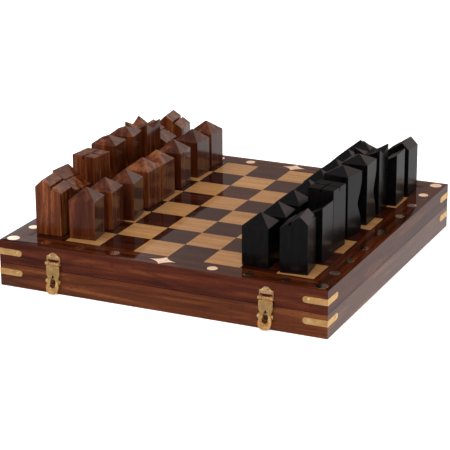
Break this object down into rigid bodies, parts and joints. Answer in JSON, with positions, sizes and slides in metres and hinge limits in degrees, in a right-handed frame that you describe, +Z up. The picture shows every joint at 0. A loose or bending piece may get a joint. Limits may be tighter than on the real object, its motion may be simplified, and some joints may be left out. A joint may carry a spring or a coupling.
{
  "type": "chess box with hinged lid",
  "caption": "Square wooden chess box whose hinged lid is the board, with two front hasps, brass corner straps and inlays, and a full set of block-shaped chess pieces.",
  "frame": {"origin": "centre of the box's underside, which is the face it rests on", "axes": "+X to the right along the front with the hasps, +Y towards the hinged back, +Z up through the board"},
  "size_m": [0.3064, 0.3196, 0.103],
  "materials": {
    "sheesham_rail": "lacquered sheesham with long dark grain",
    "dark_square": "gloss lacquered sheesham",
    "light_square": "gloss lacquered haldu wood",
    "sheesham_piece": "satin lacquered sheesham",
    "ebonised_piece": "polished black stained wood",
    "plywood": "plain plywood",
    "felt": "short green felt",
    "inlay_brass": "polished flush with the lacquer",
    "fitting_brass": "stamped, lightly polished"
  },
  "bodies": {
    "base": {"base_back_rail": "sheesham_rail", "base_corner_straps": "fitting_brass", "base_felt_lining": "felt", "base_floor": "plywood", "base_front_rail": "sheesham_rail", "base_left_rail": "sheesham_rail", "base_nails_and_screws": "fitting_brass", "base_right_rail": "sheesham_rail", "hasp_keepers": "fitting_brass", "hinge_base_leaves": "fitting_brass", "hinge_pins": "fitting_brass"},
    "lid": {"board_core": "plywood", "border_dots": "inlay_brass", "border_stars": "inlay_brass", "dark_squares": "dark_square", "hasp_pins": "fitting_brass", "hasp_plates": "fitting_brass", "hinge_lid_leaves": "fitting_brass", "lid_back_rail": "sheesham_rail", "lid_corner_straps": "fitting_brass", "lid_felt_lining": "felt", "lid_front_rail": "sheesham_rail", "lid_left_rail": "sheesham_rail", "lid_nails_and_screws": "fitting_brass", "lid_right_rail": "sheesham_rail", "light_squares": "light_square"},
    "left_hasp": {"left_hasp_flap": "fitting_brass"},
    "right_hasp": {"right_hasp_flap": "fitting_brass"},
    "sheesham_bishop_back_body": {"sheesham_bishop_back": "sheesham_piece"},
    "sheesham_bishop_front_body": {"sheesham_bishop_front": "sheesham_piece"},
    "sheesham_king_body": {"sheesham_king": "sheesham_piece"},
    "sheesham_knight_back_body": {"sheesham_knight_back": "sheesham_piece"},
    "sheesham_knight_front_body": {"sheesham_knight_front": "sheesham_piece"},
    "sheesham_pawn_1_body": {"sheesham_pawn_1": "sheesham_piece"},
    "sheesham_pawn_2_body": {"sheesham_pawn_2": "sheesham_piece"},
    "sheesham_pawn_3_body": {"sheesham_pawn_3": "sheesham_piece"},
    "sheesham_pawn_4_body": {"sheesham_pawn_4": "sheesham_piece"},
    "sheesham_pawn_5_body": {"sheesham_pawn_5": "sheesham_piece"},
    "sheesham_pawn_6_body": {"sheesham_pawn_6": "sheesham_piece"},
    "sheesham_pawn_7_body": {"sheesham_pawn_7": "sheesham_piece"},
    "sheesham_pawn_8_body": {"sheesham_pawn_8": "sheesham_piece"},
    "sheesham_queen_body": {"sheesham_queen": "sheesham_piece"},
    "sheesham_rook_back_body": {"sheesham_rook_back": "sheesham_piece"},
    "sheesham_rook_front_body": {"sheesham_rook_front": "sheesham_piece"},
    "ebony_bishop_back_body": {"ebony_bishop_back": "ebonised_piece"},
    "ebony_bishop_front_body": {"ebony_bishop_front": "ebonised_piece"},
    "ebony_king_body": {"ebony_king": "ebonised_piece"},
    "ebony_knight_back_body": {"ebony_knight_back": "ebonised_piece"},
    "ebony_knight_front_body": {"ebony_knight_front": "ebonised_piece"},
    "ebony_pawn_1_body": {"ebony_pawn_1": "ebonised_piece"},
    "ebony_pawn_2_body": {"ebony_pawn_2": "ebonised_piece"},
    "ebony_pawn_3_body": {"ebony_pawn_3": "ebonised_piece"},
    "ebony_pawn_4_body": {"ebony_pawn_4": "ebonised_piece"},
    "ebony_pawn_5_body": {"ebony_pawn_5": "ebonised_piece"},
    "ebony_pawn_6_body": {"ebony_pawn_6": "ebonised_piece"},
    "ebony_pawn_7_body": {"ebony_pawn_7": "ebonised_piece"},
    "ebony_pawn_8_body": {"ebony_pawn_8": "ebonised_piece"},
    "ebony_queen_body": {"ebony_queen": "ebonised_piece"},
    "ebony_rook_back_body": {"ebony_rook_back": "ebonised_piece"},
    "ebony_rook_front_body": {"ebony_rook_front": "ebonised_piece"}
  },
  "joints": [
    {"name": "lid_hinge", "type": "hinge", "parent": "base", "child": "lid", "pos_m": [0, 0.15505, 0.0211], "axis": [-1, 0, 0], "range_deg": [0, 100]},
    {"name": "left_hasp_swing", "type": "hinge", "parent": "lid", "child": "left_hasp", "pos_m": [-0.099, -0.1545, 0.0279], "axis": [-1, 0, 0], "range_deg": [0, 150]},
    {"name": "right_hasp_swing", "type": "hinge", "parent": "lid", "child": "right_hasp", "pos_m": [0.099, -0.1545, 0.0279], "axis": [-1, 0, 0], "range_deg": [0, 150]},
    {"name": "sheesham_bishop_back_lift", "type": "slide", "parent": "lid", "child": "sheesham_bishop_back_body", "axis": [0, 0, 1], "range_m": [0, 0.1]},
    {"name": "sheesham_bishop_front_lift", "type": "slide", "parent": "lid", "child": "sheesham_bishop_front_body", "axis": [0, 0, 1], "range_m": [0, 0.1]},
    {"name": "sheesham_king_lift", "type": "slide", "parent": "lid", "child": "sheesham_king_body", "axis": [0, 0, 1], "range_m": [0, 0.1]},
    {"name": "sheesham_knight_back_lift", "type": "slide", "parent": "lid", "child": "sheesham_knight_back_body", "axis": [0, 0, 1], "range_m": [0, 0.1]},
    {"name": "sheesham_knight_front_lift", "type": "slide", "parent": "lid", "child": "sheesham_knight_front_body", "axis": [0, 0, 1], "range_m": [0, 0.1]},
    {"name": "sheesham_pawn_1_lift", "type": "slide", "parent": "lid", "child": "sheesham_pawn_1_body", "axis": [0, 0, 1], "range_m": [0, 0.1]},
    {"name": "sheesham_pawn_2_lift", "type": "slide", "parent": "lid", "child": "sheesham_pawn_2_body", "axis": [0, 0, 1], "range_m": [0, 0.1]},
    {"name": "sheesham_pawn_3_lift", "type": "slide", "parent": "lid", "child": "sheesham_pawn_3_body", "axis": [0, 0, 1], "range_m": [0, 0.1]},
    {"name": "sheesham_pawn_4_lift", "type": "slide", "parent": "lid", "child": "sheesham_pawn_4_body", "axis": [0, 0, 1], "range_m": [0, 0.1]},
    {"name": "sheesham_pawn_5_lift", "type": "slide", "parent": "lid", "child": "sheesham_pawn_5_body", "axis": [0, 0, 1], "range_m": [0, 0.1]},
    {"name": "sheesham_pawn_6_lift", "type": "slide", "parent": "lid", "child": "sheesham_pawn_6_body", "axis": [0, 0, 1], "range_m": [0, 0.1]},
    {"name": "sheesham_pawn_7_lift", "type": "slide", "parent": "lid", "child": "sheesham_pawn_7_body", "axis": [0, 0, 1], "range_m": [0, 0.1]},
    {"name": "sheesham_pawn_8_lift", "type": "slide", "parent": "lid", "child": "sheesham_pawn_8_body", "axis": [0, 0, 1], "range_m": [0, 0.1]},
    {"name": "sheesham_queen_lift", "type": "slide", "parent": "lid", "child": "sheesham_queen_body", "axis": [0, 0, 1], "range_m": [0, 0.1]},
    {"name": "sheesham_rook_back_lift", "type": "slide", "parent": "lid", "child": "sheesham_rook_back_body", "axis": [0, 0, 1], "range_m": [0, 0.1]},
    {"name": "sheesham_rook_front_lift", "type": "slide", "parent": "lid", "child": "sheesham_rook_front_body", "axis": [0, 0, 1], "range_m": [0, 0.1]},
    {"name": "ebony_bishop_back_lift", "type": "slide", "parent": "lid", "child": "ebony_bishop_back_body", "axis": [0, 0, 1], "range_m": [0, 0.1]},
    {"name": "ebony_bishop_front_lift", "type": "slide", "parent": "lid", "child": "ebony_bishop_front_body", "axis": [0, 0, 1], "range_m": [0, 0.1]},
    {"name": "ebony_king_lift", "type": "slide", "parent": "lid", "child": "ebony_king_body", "axis": [0, 0, 1], "range_m": [0, 0.1]},
    {"name": "ebony_knight_back_lift", "type": "slide", "parent": "lid", "child": "ebony_knight_back_body", "axis": [0, 0, 1], "range_m": [0, 0.1]},
    {"name": "ebony_knight_front_lift", "type": "slide", "parent": "lid", "child": "ebony_knight_front_body", "axis": [0, 0, 1], "range_m": [0, 0.1]},
    {"name": "ebony_pawn_1_lift", "type": "slide", "parent": "lid", "child": "ebony_pawn_1_body", "axis": [0, 0, 1], "range_m": [0, 0.1]},
    {"name": "ebony_pawn_2_lift", "type": "slide", "parent": "lid", "child": "ebony_pawn_2_body", "axis": [0, 0, 1], "range_m": [0, 0.1]},
    {"name": "ebony_pawn_3_lift", "type": "slide", "parent": "lid", "child": "ebony_pawn_3_body", "axis": [0, 0, 1], "range_m": [0, 0.1]},
    {"name": "ebony_pawn_4_lift", "type": "slide", "parent": "lid", "child": "ebony_pawn_4_body", "axis": [0, 0, 1], "range_m": [0, 0.1]},
    {"name": "ebony_pawn_5_lift", "type": "slide", "parent": "lid", "child": "ebony_pawn_5_body", "axis": [0, 0, 1], "range_m": [0, 0.1]},
    {"name": "ebony_pawn_6_lift", "type": "slide", "parent": "lid", "child": "ebony_pawn_6_body", "axis": [0, 0, 1], "range_m": [0, 0.1]},
    {"name": "ebony_pawn_7_lift", "type": "slide", "parent": "lid", "child": "ebony_pawn_7_body", "axis": [0, 0, 1], "range_m": [0, 0.1]},
    {"name": "ebony_pawn_8_lift", "type": "slide", "parent": "lid", "child": "ebony_pawn_8_body", "axis": [0, 0, 1], "range_m": [0, 0.1]},
    {"name": "ebony_queen_lift", "type": "slide", "parent": "lid", "child": "ebony_queen_body", "axis": [0, 0, 1], "range_m": [0, 0.1]},
    {"name": "ebony_rook_back_lift", "type": "slide", "parent": "lid", "child": "ebony_rook_back_body", "axis": [0, 0, 1], "range_m": [0, 0.1]},
    {"name": "ebony_rook_front_lift", "type": "slide", "parent": "lid", "child": "ebony_rook_front_body", "axis": [0, 0, 1], "range_m": [0, 0.1]}
  ]
}
